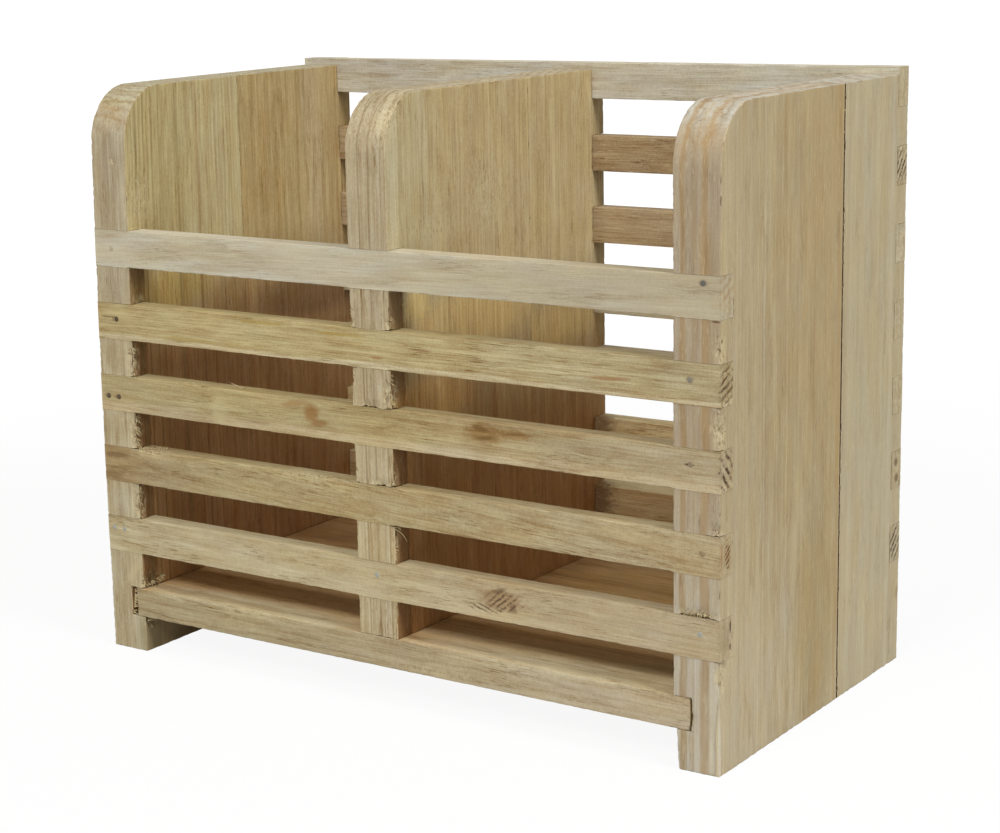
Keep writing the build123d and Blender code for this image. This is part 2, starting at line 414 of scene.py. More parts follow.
class Wood(Shader):
    """The nodes of a raw hardwood whose fibres run along the grain axis."""

    def __init__(self, name, grain, slope, seed):
        super().__init__(bpy.data.materials.new(name))
        self.grain = grain
        self.here = self.millimetres()
        sloped = self.turned(self.here, (0, 1, 0) if grain == 0 else (1, 0, 0), slope)
        self.place = self.vector("ADD", sloped, (seed * 131, seed * 57, seed * 83))
        self.normal = self.add("NewGeometry", {}, "Normal")

    def along(self, axis):
        return self.part(self.here, axis)

    def facing(self, direction, low, high, strength=1):
        return self.between(self.dot(self.normal, direction), low, high, 0, strength)

    def stretched(self, across, along):
        """A grain size for noise that is longest along the fibres."""
        return tuple(along if axis == self.grain else across for axis in range(3))

    def fibres(self, across, along, detail=2, roughness=0.5):
        return self.noise(self.place, self.stretched(across, along), detail, roughness)

    def blob(self, centre, radii, turn=0):
        """1 inside a soft ellipsoid, turned by some degrees about Y. Only the largest aren't ragged."""
        turned = self.turned(self.vector("SUBTRACT", self.here, centre), (0, 1, 0), turn)
        distance = self.length(self.vector("DIVIDE", turned, radii))
        rough = min(1.3, max(radii) / 6) if max(radii) < 20 else 0.25
        ragged = self.noise(self.here, (3.8, 3.8, 1.7), 5, 0.7)
        distance = self.line(ragged, rough, distance)
        return self.between(distance, 0.45 + rough / 2, 1.15 + rough / 2, 1, 0)

    def toned(self, tones, span, stray, fade, casts, strip, shades):
        """Tones across the board and along its fade, then by the way that a face looks, with painted
        light and shade among them.
        """
        axis, low, high = span
        place = self.plus(stray, self.along(axis))
        colour = self.stops(self.math("DIVIDE", self.math("SUBTRACT", place, low), high - low), tones)
        faded = 0
        # A fade is painted shade on the inner faces and the floor, and painted floor light on the front
        # edges and the right side.
        if fade:
            axis, low, high, tone = fade
            place = self.plus(self.around(self.fibres(6, 90), (high - low) / 2), self.along(axis))
            faded = self.between(place, low, high, 1, 0)
            share = self.facing(RIGHT_FACE, 0.4, 0.8) if self.grain == 2 else 1
            colour = self.tinted(colour, faded, share, tone)
        for direction, tone, *faded_tone in casts:
            tone = self.mix(faded, tone, faded_tone[0] if faded_tone else tone)
            colour = self.mix(self.facing(direction, 0.5, 0.85), colour, tone)
        # The strip paints shade on the right faces just under the front slats.
        if strip:
            front, top, tone, strength = strip
            ahead = self.between(self.along(1), front - 0.8, front + 0.8, 1, 0)
            share = self.times(self.facing(RIGHT_FACE, 0.4, 0.8, strength), ahead)
            share = self.times(share, self.between(self.along(2), top - 1, top, 1, 0))
            colour = self.mix(share, colour, tone)
        for centre, radii, tone, strength in shades:
            colour = self.tinted(colour, self.blob(centre, radii), strength, tone)
        return colour

    def streaked(self, colour, streaks, wobble):
        for axis, middle, width, tint, strength in streaks:
            stray = self.noise(self.here, self.stretched(3, 35))
            place = self.plus(self.around(stray, wobble * width), self.along(axis))
            off = self.math("ABSOLUTE", self.math("SUBTRACT", place, middle))
            mask = self.between(off, 0.2 * width, 0.9 * width, strength, 0)
            colour = self.mix(mask, colour, tint)
        return colour

    def marked(self, colour, spots, strokes, tears):
        place = self.here
        for centre, radii, turn, tint, strength in spots:
            colour = self.tinted(colour, self.blob(centre, radii, turn), strength, tint)
        for centre, radii, across, spacing, tint, strength in strokes:
            count = self.math("DIVIDE", self.dot(place, Vector(across).normalized()), spacing)
            count = self.plus(self.around(self.noise(place, (4, 4, 4)), 0.7), count)
            count = self.math("FRACT", count)
            stroke = self.times(self.between(count, 0, 0.2), self.between(count, 0.4, 0.65, 1, 0))
            broken = self.between(self.noise(place, (1.6, 2.4, 1.6)), 0.36, 0.52, 0.25, 1)
            mask = self.times(self.blob(centre, radii), strength)
            colour = self.tinted(colour, self.times(stroke, broken), mask, tint)
        if tears:
            fibres = self.between(self.noise(place, (0.9, 0.9, 3.2), 3, 0.6), 0.44, 0.6)
            pits = self.between(self.noise(place, (1.1, 1.1, 1.7)), 0.58, 0.68, 0, 0.85)
        for centre, radii, depth in tears:
            torn = self.blob(centre, radii)
            for share, strength, tint in ((fibres, 2 * depth, FIBRE), (pits, depth, PIT)):
                mask = self.times(torn, min(1, strength))
                colour = self.tinted(colour, share, mask, tint)
        return colour


def wood(name, grain, tones, span, *, seed, fade=None, casts=(), strip=None, shades=(), streaks=(),
         wobble=1.6, spots=(), strokes=(), tears=(), slope=0, wander=5, contrast=1, clouds=0.5,
         line=(2.2, 60, 0.5), ring=(0, 4), ring_depth=0.15, pores=0.35, pore_length=6,
         flecks=0.25):
    """A raw hardwood. Sizes are in millimetres, and the fibres run along the grain axis.

    tones: (share, colour) stops across span, an (axis, low, high) range
    fade: (axis, low, high, colour), painted light and shade: a range over which the wood turns to that
    colour, towards low; on an upright board, only the faces that look right do
    casts: (direction, colour) of the faces that look that way, and perhaps their faded colour, some
    painted light
    strip: (Y, height, colour, strength), painted shade on right faces before that Y and below that
    height
    shades: (centre, radii, colour, strength) tones under the grain, some of them painted light and
    shade
    streaks: (axis, place, width, colour, strength) lines, that stray by wobble widths
    spots: (centre, radii, turn, colour, strength) stains
    strokes: (centre, radii, direction across them, spacing, colour, strength) hatchings
    tears: (centre, radii, depth) patches of torn fibres
    slope: tilt of the grain in degrees; wander is how far it strays
    line: width, length and amount of fine bands; clouds is the amount of soft patches
    ring: angle of the growth rings' normal, from Y or X towards Z or Y, and their spacing
    """
    s = Wood(name, grain, slope, seed)
    stray = s.around(s.fibres(30, 240), wander)
    colour = s.toned(tones, span, stray, fade, casts, strip, shades)
    colour = s.streaked(colour, streaks, wobble)
    colour = s.tinged(colour, GOLDEN_PATCH, s.around(s.fibres(9, 30, 3), 1))

    # Growth rings: a porous line that fades into late wood.
    angle = radians(ring[0])
    across_rings = (0, cos(angle), sin(angle)) if grain == 0 else (cos(angle), sin(angle), 0)
    rings = s.math("DIVIDE", s.plus(s.dot(s.place, across_rings), stray), ring[1])
    rings = s.math("FRACT", s.plus(s.around(s.fibres(5, 40), 1.6), rings))
    early = s.times(s.between(rings, 0, 0.16), s.between(rings, 0.2, 0.62, 1, 0))
    end_grain = s.between(s.math("ABSOLUTE", s.dot(s.normal, END_FACE[grain])), 0.6, 0.85)
    ring_share = s.line(end_grain, END_RING_DEPTH[grain] - ring_depth, ring_depth)

    # Everything that darkens or lightens the wood about its tone.
    width, length, amount = line
    bands = s.fibres(width, length, 3, 0.6)
    hair = s.fibres(0.5, 22, 2, 0.65)
    darkness = s.plus(
        s.around(s.fibres(11, 120), 0.4 * contrast),
        s.around(s.fibres(5, 17, 3, 0.6), clouds * contrast),
        s.around(bands, amount * contrast),
        s.around(hair, 0.8 * contrast),
        s.around(s.noise(s.place, (0.8, 0.8, 1.1)), 0.4 * contrast),
    )
    darkness = s.line(s.math("SUBTRACT", early, 0.3), ring_share, darkness)
    pore = s.line(early, 0.06, s.fibres(0.42, pore_length, 1))
    patches = s.between(s.fibres(8, 30), 0.45, 0.65, 0.1, 1)
    pore = s.times(s.between(pore, 0.62, 0.70), patches)
    darkness = s.line(pore, pores, darkness)
    colour = s.tinged(colour, DARKER_FIBRE, darkness)
    colour = s.mix(s.between(s.fibres(0.7, 5), 0.58, 0.72, 0, flecks), colour, DRY)
    colour = s.marked(colour, spots, strokes, tears)

    height = s.line(hair, 0.5, s.times(bands, 0.4))
    height = s.line(pore, -0.8, height)
    height = s.line(early, -0.2, height)
    roughness = s.line(bands, 0.2, 0.65)
    return s.surface(colour, roughness, height, 0.12 * MM, 0.2)


# From one height to another, in millimetres, the brads turn to these colours at the left and right.
BRAD_TINTS = [
    (95, 105, 0x544634, 0x8E7E64),
    (130, 138, 0x52422E, 0x847F6E),
    (165, 172, 0xB6AC93, 0x64625B),
]


def steel(name):
    """Dull brad wire, whose tone differs from slat to slat and from left to right."""
    s = Shader(bpy.data.materials.new(name))
    place = s.millimetres()
    height = s.part(place, 2)
    left = s.between(s.part(place, 0), -60, -50, 1, 0)
    colour = s.mix(s.between(height, 64, 72), 0xA8A79C, 0x968360)
    for low, high, left_tint, right_tint in BRAD_TINTS:
        tint = s.mix(left, right_tint, left_tint)
        colour = s.mix(s.between(height, low, high), colour, tint)
    tarnish = s.between(s.noise(place, (0.5, 0.5, 0.5), 3), 0.4, 0.7, 0, 0.4)
    scratches = s.noise(place, (0.12, 0.6, 0.08))
    roughness = s.line(scratches, 0.3, 0.45)
    colour = s.mix(tarnish, colour, 0x4E4438)
    return s.surface(colour, roughness, scratches, 0.05 * MM, 0.3, 0.2)


# ---- boards ----

def cut_for(node):
    """The notch that takes a slat, right through an upright along X."""
    low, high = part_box(node)
    reach = Vector((0, 0, NOTCH_CLEARANCE))
    return low - reach, high + reach


def housing_cut(side):
    """The floor's housing in a side, open at the inner face, front and back."""
    low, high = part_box("floor_front_board")
    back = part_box("floor_rear_board")[1].y
    gap = HOUSING_GAP[side]
    start = low.x - gap if side == "left" else high.x + gap
    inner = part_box(f"{side}_side_front_board")[1 if side == "left" else 0].x
    xs = sorted((start, inner))
    return ((xs[0], low.y, low.z - NOTCH_CLEARANCE), (xs[1], back, high.z + NOTCH_CLEARANCE))


def upright(name, number, shape=None, **looks):
    """One board of a side or of the divider, with notches for its slats."""
    low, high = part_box(name)
    front = name.endswith("front_board")
    cuts = [cut_for(slat) for slat in (FRONT_SLATS if front else BACK_SLATS)]
    joints = [(z, z) for cut in cuts for z in (cut[0].z, cut[1].z)]
    if "side" in name:
        cuts.append(housing_cut(name.split("_")[0]))
    extra = [low.y + step * MM for step in (2, 4, 6, 12)] if front else []
    corner = (low.y + TOP_CORNER_R, high.z - TOP_CORNER_R) if front else None
    material = wood(name.replace("side_", "").replace("board", "wood"), 2, seed=number, **looks)
    piece = block(name, material, 10 + number, UPRIGHT_CELLS, cuts, corner, grain=2, shape=shape,
                  chips=1.2 * MM, tears=looks.get("tears", ()), extra=extra, joints=(2, joints))


def back_recess(points, outward):
    """The back edges between the slats stand back from the slats' faces."""
    moved = points.copy()
    at_back = points[:, 1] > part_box("left_side_rear_board")[1].y - TINY
    moved[at_back, 1] -= BACK_RECESS
    return moved


def open_seam(points, outward):
    """The seam of the right side gapes towards its foot, and the foot is thinner and worn."""
    moved = points.copy()
    low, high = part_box("right_side_front_board")
    height = points[:, 2]
    at_seam = points[:, 1] > high.y - TINY
    ragged = noise_at(points, (40 * MM, 1, 7 * MM), 31, octaves=3)
    gape = SEAM_GAPE * (1 + ragged) + SEAM_SPREAD * (1 - height / high.z)
    moved[at_seam, 1] -= np.maximum(gape, 0)[at_seam]

    inwards, behind = high.x - points[:, 0], points[:, 1] - low.y
    foot_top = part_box("floor_front_board")[0].z
    thinner = np.where(height < foot_top, FOOT_STEP + FOOT_TAPER * (1 - height / foot_top), 0)
    moved[:, 0] += thinner * inwards / (high.x - low.x)
    wear = 0.3 * FOOT_ARRIS * (1 - ramp(height, 14 * MM, 40 * MM))
    moved[:, 1] += np.where(behind < TINY, wear * np.clip(1 - inwards / FOOT_ARRIS, 0, 1) ** 2, 0)
    moved[:, 0] -= np.where(inwards < TINY, wear * np.clip(1 - behind / FOOT_ARRIS, 0, 1) ** 2, 0)
    return moved


CHALK = 0xBEB69F
OAT = 0xAEA182
SAND = 0xA69572
STRAW = 0xB8A87D
WHEAT = 0xB39F75
HONEY = 0xAB9465
# Painted shade: the inner faces turn to this warm tone lower down between the slats.
PAINTED_SHADE_RUSSET = 0xC39B6E      # the boards' inner faces, down between the slats
# Painted shade on the rear board's front face, deep inside the right side's open seam.
PAINTED_SEAM_SHADE = 0x543A24
# Painted shade in fine grooves down the divider's front edge.
PAINTED_GROOVE_SHADE = 0x765E3A
RIDGE = 0x8A784C
# Front and top tones of the uprights' front edges. The paler second front tone comes in lower down with
# the fade: painted light of the floor's bounce.
LEFT_FRONT = [(FRONT_FACE, 0xA59679, 0xB0A282), (TOP_FACE, 0xA2987C)]
DIVIDER_FRONT = [(FRONT_FACE, 0xAA9A7B, 0xB6A683), (TOP_FACE, 0xA09275)]
RIGHT_FRONT = [(FRONT_FACE, 0xA3937A, 0xB9B09C), (TOP_FACE, 0xA9A190)]
# Painted shade on the right faces just under the front slats, where the slats shade them.
PAINTED_SHADE_UNDER_SLATS = (-71.5, 173, 0x7C5C3A, 0.8)   # the faces between the front slats

LEFT_WOOD = dict(fade=(2, 118, 182, PAINTED_SHADE_RUSSET), wander=2, line=(1.5, 150, 0.8))
# The divider's fade is painted shade: its right face turns warmer lower down between the slats.
DIVIDER_WOOD = dict(shape=skewed, fade=(2, 80, 165, 0xC09565), line=(1.2, 170, 0.7))
RIGHT_WOOD = dict(wander=2, pores=0.15)

# The looks of the uprights, in millimetres. Tones run from the front of a board to its back.
upright(
    "left_side_front_board", 1,
    tones=[(0, 0xAF9E70), (0.4, 0xAF9E70), (0.65, STRAW), (1, STRAW)],
    span=(1, FRONT, -2), casts=LEFT_FRONT, strip=PAINTED_SHADE_UNDER_SLATS, ring=(83, 2.6), ring_depth=0.12,
    **LEFT_WOOD,
    streaks=[(1, -74, 0.9, RIDGE, 0.5), (1, -69, 0.8, RIDGE, 0.5), (1, -63.5, 0.8, RIDGE, 0.45),
             (1, -47, 1.6, RIDGE, 0.5), (1, -33, 1.2, BROWN, 0.35)],
    spots=[((-144, -80, 241), (14, 6, 1), -8, 0x9E8052, 0.6),
           ((-143, -78, 244.5), (14, 5, 0.8), -6, 0xA68A5C, 0.5),
           ((-140, -80, 237), (10, 4, 0.8), -10, 0x96784C, 0.45),
           ((LEFT_X, -68, 8), (4, 60, 12), 0, 0x968A68, 0.8),
           ((-139.5, FRONT, 36), (2.4, 3, 8), -38, 0xC4B28C, 0.5)],
    # The first four shades are painted light and shade on the inner face between the slats: a lit
    # golden pool near the front, darker behind it and lower down. The last three tone the blocks' front
    # faces.
    shades=[((LEFT_X, -52, 160), (3, 30, 12), 0xBEA25E, 0.7),
            ((LEFT_X, -8, 150), (3, 26, 12), 0x9C763E, 0.5),
            ((LEFT_X, -42, 129), (3, 32, 9), 0xA4764A, 0.4),
            ((LEFT_X, 45, 145), (3, 58, 13), 0x704C28, 0.6),
            ((-144, FRONT, 133), (9, 2, 7), 0xA2916C, 0.5),
            ((-144, FRONT, 101), (9, 2, 7), 0xA4926C, 0.5),
            ((-144, FRONT, 69), (9, 2, 7), 0xBCB296, 0.5)],
    tears=[((LEFT_X, -76, 159), (2.5, 5, 3), 0.8), ((LEFT_X, -80, 132), (3.4, 3.6, 9.5), 2.2),
           ((LEFT_X, -80, 101), (4.6, 4.2, 9.5), 2.4), ((LEFT_X, -80, 69), (4.6, 3.6, 9.5), 2),
           ((-133, -76, 32), (4, 9, 4.5), 3), ((LEFT_X, -77, 13.5), (2.5, 5, 3), 2.6),
           ((LEFT_X, -73, 203), (2.5, 11, 15), 0.45), ((-139.5, FRONT, 218.4), (3, 2, 1.4), 0.6)])
upright(
    "left_side_rear_board", 2,
    shape=back_recess,
    tones=[(0, HONEY), (0.5, HONEY), (0.64, 0xB2A07C), (0.76, 0xAC966A), (1, HONEY)],
    span=(1, -2, -FRONT), casts=LEFT_FRONT[1:], ring=(62, 5), ring_depth=0.08, **LEFT_WOOD,
    # Painted shade on the inner face, lower down between the slats.
    shades=[((LEFT_X, 45, 144), (3, 52, 14), 0x704E2D, 0.6)])
upright(
    "divider_front_board", 3,
    tones=[(0, 0xB0A381), (0.14, 0xB6A983), (0.42, WHEAT), (1, WHEAT)],
    span=(1, FRONT, 20), casts=DIVIDER_FRONT, strip=PAINTED_SHADE_UNDER_SLATS, wander=1.2, ring=(12, 3.6),
    ring_depth=0.1, **DIVIDER_WOOD,
    streaks=[(0, -7.6, 0.7, PAINTED_GROOVE_SHADE, 0.5), (0, -2.6, 0.6, PAINTED_GROOVE_SHADE, 0.4), (0, 3.4, 0.6, PAINTED_GROOVE_SHADE, 0.4),
             (0, 1.2, 3, 0xB8AC90, 0.4)],
    # Painted light: golden pools on the right face between the slats, where light reaches in.
    shades=[((6, -20, 153), (4, 62, 15), 0xD0B378, 0.85), ((6, -52, 123), (4, 32, 13), 0xD4AA6A, 0.75),
            ((6, -62, 165), (4, 10, 9), 0xD2B676, 0.75)],
    tears=[((-13.5, -80, 149), (3.2, 3, 24), 1.2), ((-13.5, -80, 96), (2.6, 3, 14), 1),
           ((6, -80, 159), (3, 3, 3.5), 1.8), ((5, -80, 131), (4, 4, 9), 2.2),
           ((-4, FRONT, 126), (6, 3, 2), 1.4), ((6, -80, 84), (2.4, 3.6, 22), 1.4),
           ((0, FRONT, 94), (6, 3, 1.6), 1.2), ((4, -76, 241), (5, 8, 8), 0.5),
           ((6, -8, 204), (3, 28, 20), 0.3), ((6, -48, 195), (3, 24, 7), 0.3)])
upright(
    "divider_rear_board", 4,
    tones=[(0, WHEAT), (0.5, WHEAT), (0.7, 0xB6A37A), (1, 0xB6A37A)],
    span=(1, 20, -FRONT), casts=DIVIDER_FRONT[1:], wander=1.5, ring=(25, 4), ring_depth=0.06,
    **DIVIDER_WOOD,
    # Painted light: a golden pool on the right face between the slats.
    shades=[((6, 45, 140), (4, 60, 14), 0xCEB278, 0.85)])
upright(
    "right_side_front_board", 5,
    shape=open_seam,
    tones=[(0, 0xAA9977), (0.06, 0xAA9977), (0.12, 0xA79777),
           (0.45, 0xA79673), (0.75, 0xA5926D), (1, 0xA38F69)],
    # The fade pales the outer face towards the foot: painted light of the floor's bounce.
    span=(1, FRONT, 20), casts=RIGHT_FRONT, fade=(2, 10, 130, 0xB4A688), contrast=0.55,
    line=(1.4, 150, 0.7), ring=(6, 9), ring_depth=0.1, wobble=2, **RIGHT_WOOD,
    streaks=[(0, 137.4, 2, 0x967A50, 0.65), (0, 146.4, 2.8, 0x9C7E52, 0.6),
             (0, 142, 1, 0x9E8862, 0.4), (1, -46.6, 1.2, 0xB8AC8E, 0.5),
             (1, -27.6, 1.2, 0xB6A888, 0.5), (1, 17.5, 2.6, 0x9E8052, 0.4)],
    shades=[((END_X, 0, 40), (3, 24, 55), 0xA08C62, 0.75)],
    spots=[((151, FRONT, 172.4), (2.2, 1.2, 0.5), 0, DARK, 0.85),
           ((140.4, FRONT, 27), (0.8, 1.5, 1.3), 0, UMBER, 0.9),
           ((140.4, FRONT, 19.6), (0.8, 1.5, 1.1), 0, UMBER, 0.9)],
    tears=[((152.5, -80, 133), (4, 3.6, 9.5), 1.8), ((152, -80, 163), (2.6, 3, 7), 1),
           ((144, FRONT, 62), (10, 3, 2.6), 1.6), ((151.5, -80, 95), (3, 3, 3), 1.2),
           ((152.5, -79, 40), (2.6, 3.6, 8), 1.8), ((140.6, FRONT, 23), (1.4, 4, 7.5), 1.2)])
upright(
    "right_side_rear_board", 6,
    tones=[(0, OAT), (1, 0xAC9F80)], span=(1, 20, -FRONT),
    # Its fade too is painted floor light towards the foot.
    casts=[(FRONT_FACE, PAINTED_SEAM_SHADE), RIGHT_FRONT[1]], fade=(2, 10, 160, 0xB4A789),
    contrast=0.45, line=(1.4, 150, 0.6), ring=(40, 8), ring_depth=0.06, **RIGHT_WOOD,
    streaks=[(1, 67.5, 3, 0xBAAE94, 0.4)],
    spots=[((END_X, 74.3, 109.4), (0.6, 0.8, 0.8), 0, DARK, 0.8),
           ((END_X, 80, 30), (2, 2.5, 3.5), 0, 0x96805C, 0.7)])

# Painted shade: the floor's warm tone where the slats shade it, behind the lit front strip.
PAINTED_SHADE_FLOOR = 0xBB9567


def floor_board(name, number, **looks):
    """One of the floor's two boards."""
    material = wood(f"{name}_grain", 0, seed=7 + number, span=(1, FRONT, -FRONT),
                    ring=(70, 4), contrast=1.1, **looks)
    piece = block(name, material, 21 + number, SLAT_CELLS)


floor_board(
    "floor_front_board", 0,
    # Paler and greyer on the lit front strip, and the painted shade tone behind it.
    tones=[(0, 0xBCAA84), (0.12, 0xBCAA84), (0.22, PAINTED_SHADE_FLOOR), (1, PAINTED_SHADE_FLOOR)],
    # The fade towards the left is painted shade, on the top and on the front face.
    casts=[(FRONT_FACE, 0xB09F82, 0xA59572)], fade=(0, -110, 190, 0xB79466),
    shades=[((-75, -77, 29), (75, 13, 4), 0xBEB290, 0.8), ((72, -77, 29), (70, 12, 4), 0xBEB08E, 0.75)],
    tears=[((24, FRONT, 19), (28, 2, 2.2), 0.3)])
floor_board(
    "floor_rear_board", 1,
    tones=[(0, PAINTED_SHADE_FLOOR), (1, PAINTED_SHADE_FLOOR)], casts=[(BACK_FACE, 0xB09F82)],
    # Painted light: a brighter pool on the floor where light falls in between the slats.
    shades=[((50, 35, 29), (45, 32, 4), 0xDEBC7E, 0.7)])


# ---- slats ----

FRONT_END_Y = -76             # the middles of the slats' right ends
BACK_END_Y = 76
BACK_ENDS = (RIGHT_FACE, OAT)
# Painted light: the back slats' top faces are made paler where light falls on them.
PAINTED_LIGHT_TOP = (TOP_FACE, 0xC8B68A)
UPRIGHT_RANGES = [
    [corner.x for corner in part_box(f"{name}_front_board")]
    for name in ("left_side", "divider", "right_side")
]
NUT = 0x74583A                # where the divider's shadow falls on a back slat


def end_hatch(y, z, rise, spacing, strength, tint=DARK):
    """Dark strokes across a slat's right end. rise is how steeply they climb towards the back."""
    return ((END_X, y, z), (1.5, 6.5, 9.5), (0, -rise, 1), spacing, tint, strength)


def humped(points, outward):
    """The top of the lowest back slat climbs towards its back face, beside the divider."""
    low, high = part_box("back_slat_7")
    x, y, z = points.T
    share = ramp(x, *HUMP_RISE) * (1 - ramp(x, *HUMP_FALL)) * (y - low.y) / (high.y - low.y)
    return points + np.outer(np.where(z > high.z - TINY, share * HUMP, 0), (0, 0, 1))


def halo(x, z, strength):
    """The dark stain in the wood about a brad's head."""
    return ((x, FRONT, z), (2.2, 1.5, 1.5), 0, DARK, strength)


def slat(name, casts=(), **looks):
    """A slat of the front or of the back, with crisp arrises where it lies in the uprights."""
    number = (FRONT_SLATS + BACK_SLATS).index(name)
    front = name in FRONT_SLATS
    low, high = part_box(name)
    material = wood(f"{name}_grain", 0, span=(0, low.x / MM, high.x / MM), seed=11 + number,
                    casts=[*casts, *([] if front else [BACK_ENDS])], **looks)
    piece = block(name, material, 40 + number, SLAT_CELLS, ease=0.6 * MM, waves=0.25 * MM,
                  joints=(0, UPRIGHT_RANGES if front else UPRIGHT_RANGES[::2]),
                  shape=humped if name == "back_slat_7" else None, tears=looks.get("tears", ()))


# The looks of the slats, in millimetres. Tones run from the left end to the right one.
slat(
    "front_slat_1",
    tones=[(0, CHALK), (0.35, 0xBCB39B), (0.6, 0xB6AC92), (1, 0xAC9E80)],
    slope=1.5, contrast=0.6, clouds=0.3, pores=0.1, flecks=0.1,
    spots=[halo(145.8, 186, 0.5)],
    strokes=[end_hatch(FRONT_END_Y, 184, 0.6, 3.4, 0.45, BROWN)])
slat(
    "front_slat_2",
    tones=[(0, 0xAA986C), (0.4, 0xAB986A), (0.65, 0xAF9F75), (1, 0xA39471)],
    contrast=1.4, line=(1.6, 45, 0.8), pores=0.6, pore_length=14,
    streaks=[(2, 142.1, 1.8, 0xC6B898, 0.55)],
    spots=[((-146, FRONT, 150.8), (5, 2, 0.5), 0, UMBER, 0.6), halo(-142.4, 150, 0.5),
           halo(140.4, 150.3, 0.3), ((-1, FRONT, 145.6), (4, 2, 0.6), 0, BROWN, 0.8),
           ((106, FRONT, 147.5), (10, 2, 1), 3, BROWN, 0.7),
           ((-60, FRONT, 155), (16, 3, 1), 1, 0xA0884A, 0.7),
           ((-20, FRONT, 153.6), (14, 3, 0.8), 0, 0xA48A4A, 0.7),
           ((20, FRONT, 150.5), (7, 3, 0.6), 0, 0x866642, 0.7),
           ((-100, FRONT, 144.5), (16, 3, 1), 0, 0xA08A50, 0.6)],
    strokes=[end_hatch(FRONT_END_Y, 149, 0.4, 2.9, 1)])
slat(
    "front_slat_3",
    tones=[(0, 0xA9986F), (0.45, 0xA59367), (0.6, 0xA8966D), (1, 0xAB9B7B)],
    contrast=1.2,
    streaks=[(2, 111, 3.4, 0xC0AE8E, 0.5)],
    shades=[((50, FRONT, 120.6), (11, 3, 5), 0x8C6A38, 0.75),
            ((64, FRONT, 121.2), (9, 3, 2.6), 0x906E3C, 0.7)],
    spots=[((-35, FRONT, 119.5), (4.4, 3, 4.6), -24, 0x906838, 0.8),
           ((-31, FRONT, 115.5), (5.5, 3, 1.7), 10, 0x8C683C, 0.75),
           ((-44, FRONT, 122.6), (8, 3, 1.6), 8, 0x9E7E50, 0.7),
           ((48, FRONT, 122.3), (5, 3, 1.2), -12, 0x6A502A, 0.7),
           ((51, FRONT, 118.6), (5.5, 3, 1.1), 10, 0x6E542E, 0.75),
           ((64, FRONT, 121.4), (6, 3, 0.8), 4, 0x72562E, 0.65),
           ((-85, FRONT, 116), (5, 3, 7.5), 10, 0xC0B488, 0.45),
           halo(-148.8, 115.4, 0.5), halo(-142.9, 115.4, 0.5),
           ((140.2, FRONT, 118.7), (2.4, 2, 0.6), 0, UMBER, 0.9)],
    strokes=[end_hatch(FRONT_END_Y, 117, -1.1, 3.6, 1, UMBER)])
slat(
    "front_slat_4",
    tones=[(0, 0x98825C), (0.1, 0x9E8A66), (0.3, 0xB0A074), (1, 0xAB9978)],
    slope=-3, contrast=1.2,
    spots=[((-146, FRONT, 89), (9, 3, 1.6), 4, 0x745A3A, 0.7),
           ((-148, FRONT, 80), (7, 3, 2), 0, 0x806642, 0.6),
           ((-140, FRONT, 84), (12, 3, 1.2), 5, 0x866A42, 0.5), halo(145.4, 85.6, 0.15),
           ((END_X, -75, 85), (3, 2, 6), 0, BROWN, 0.5),
           ((END_X, -79.6, 85), (3, 1, 6), 0, BROWN, 0.6)],
    strokes=[((END_X, -75, 85), (1.5, 2.6, 7), (0, -0.7, 1), 1.8, 0x5C442A, 1)],
    tears=[((-35, -80, 93), (24, 4, 1.6), 1.4), ((-126, -80, 93), (13, 4, 1.8), 1.4)])
slat(
    "front_slat_5",
    tones=[(0, 0xB9AC89), (0.45, 0xBAAB87), (0.65, 0xB19F7C), (1, 0xAF9E7F)],
    contrast=0.9,
    shades=[((56, FRONT, 54), (12, 3, 5), 0x947854, 0.8)],
    spots=[((END_X, -77.5, 53), (3, 4.5, 7.5), 0, 0x968866, 0.5),
           ((END_X, -72.6, 57), (3, 0.8, 3), 0, UMBER, 0.9),
           ((END_X, -72.8, 49), (3, 0.8, 1.6), 0, UMBER, 0.8),
           ((56, FRONT, 57.6), (4, 3, 1.2), 14, 0x645038, 0.6),
           ((62, FRONT, 51.5), (2, 3, 2.2), -35, 0x685034, 0.6)],
    strokes=[((58, FRONT, 53.5), (9.5, 3, 4.8), (0.8, 0, -0.9), 2.1, 0x523E2E, 0.85),
             ((50, FRONT, 49.6), (9, 3, 2.2), (0.35, 0, 1), 1.7, 0x523E2E, 0.8)])
slat("back_slat_1", tones=[(0, 0xBAB29E), (1, 0xB8B09C)])
slat(
    "back_slat_2",
    tones=[(0, 0x9B8462), (1, 0x9B8462)], contrast=1.5, pores=0.6,
    strokes=[end_hatch(BACK_END_Y, 213, 1.3, 2.6, 1, UMBER)])
slat("back_slat_3", tones=[(0, 0xA6906F), (1, 0xA6906F)], contrast=1.4)
slat("back_slat_4", tones=[(0, OAT), (1, OAT)])
slat("back_slat_5", tones=[(0, SAND), (1, OAT)])
slat(
    "back_slat_6",
    tones=[(0, SAND), (1, SAND)], casts=[(FRONT_FACE, 0xBEA678), PAINTED_LIGHT_TOP],
    shades=[((6, 71.5, 91), (14, 8, 16), NUT, 0.9)],
    spots=[((END_X, 76, 88), (3, 2.4, 2.2), 0, DARK, 0.7),
           ((END_X, 77, 81), (3, 2.4, 2.2), 0, DARK, 0.7)])
slat(
    "back_slat_7",
    tones=[(0, SAND), (1, SAND)], casts=[(FRONT_FACE, 0xB99D71), PAINTED_LIGHT_TOP],
    shades=[((6, 71.5, 57), (14, 8, 16), NUT, 0.9)],
    strokes=[end_hatch(BACK_END_Y, 53, 1, 2.8, 0.95, UMBER)])


# ---- torn fibres ----

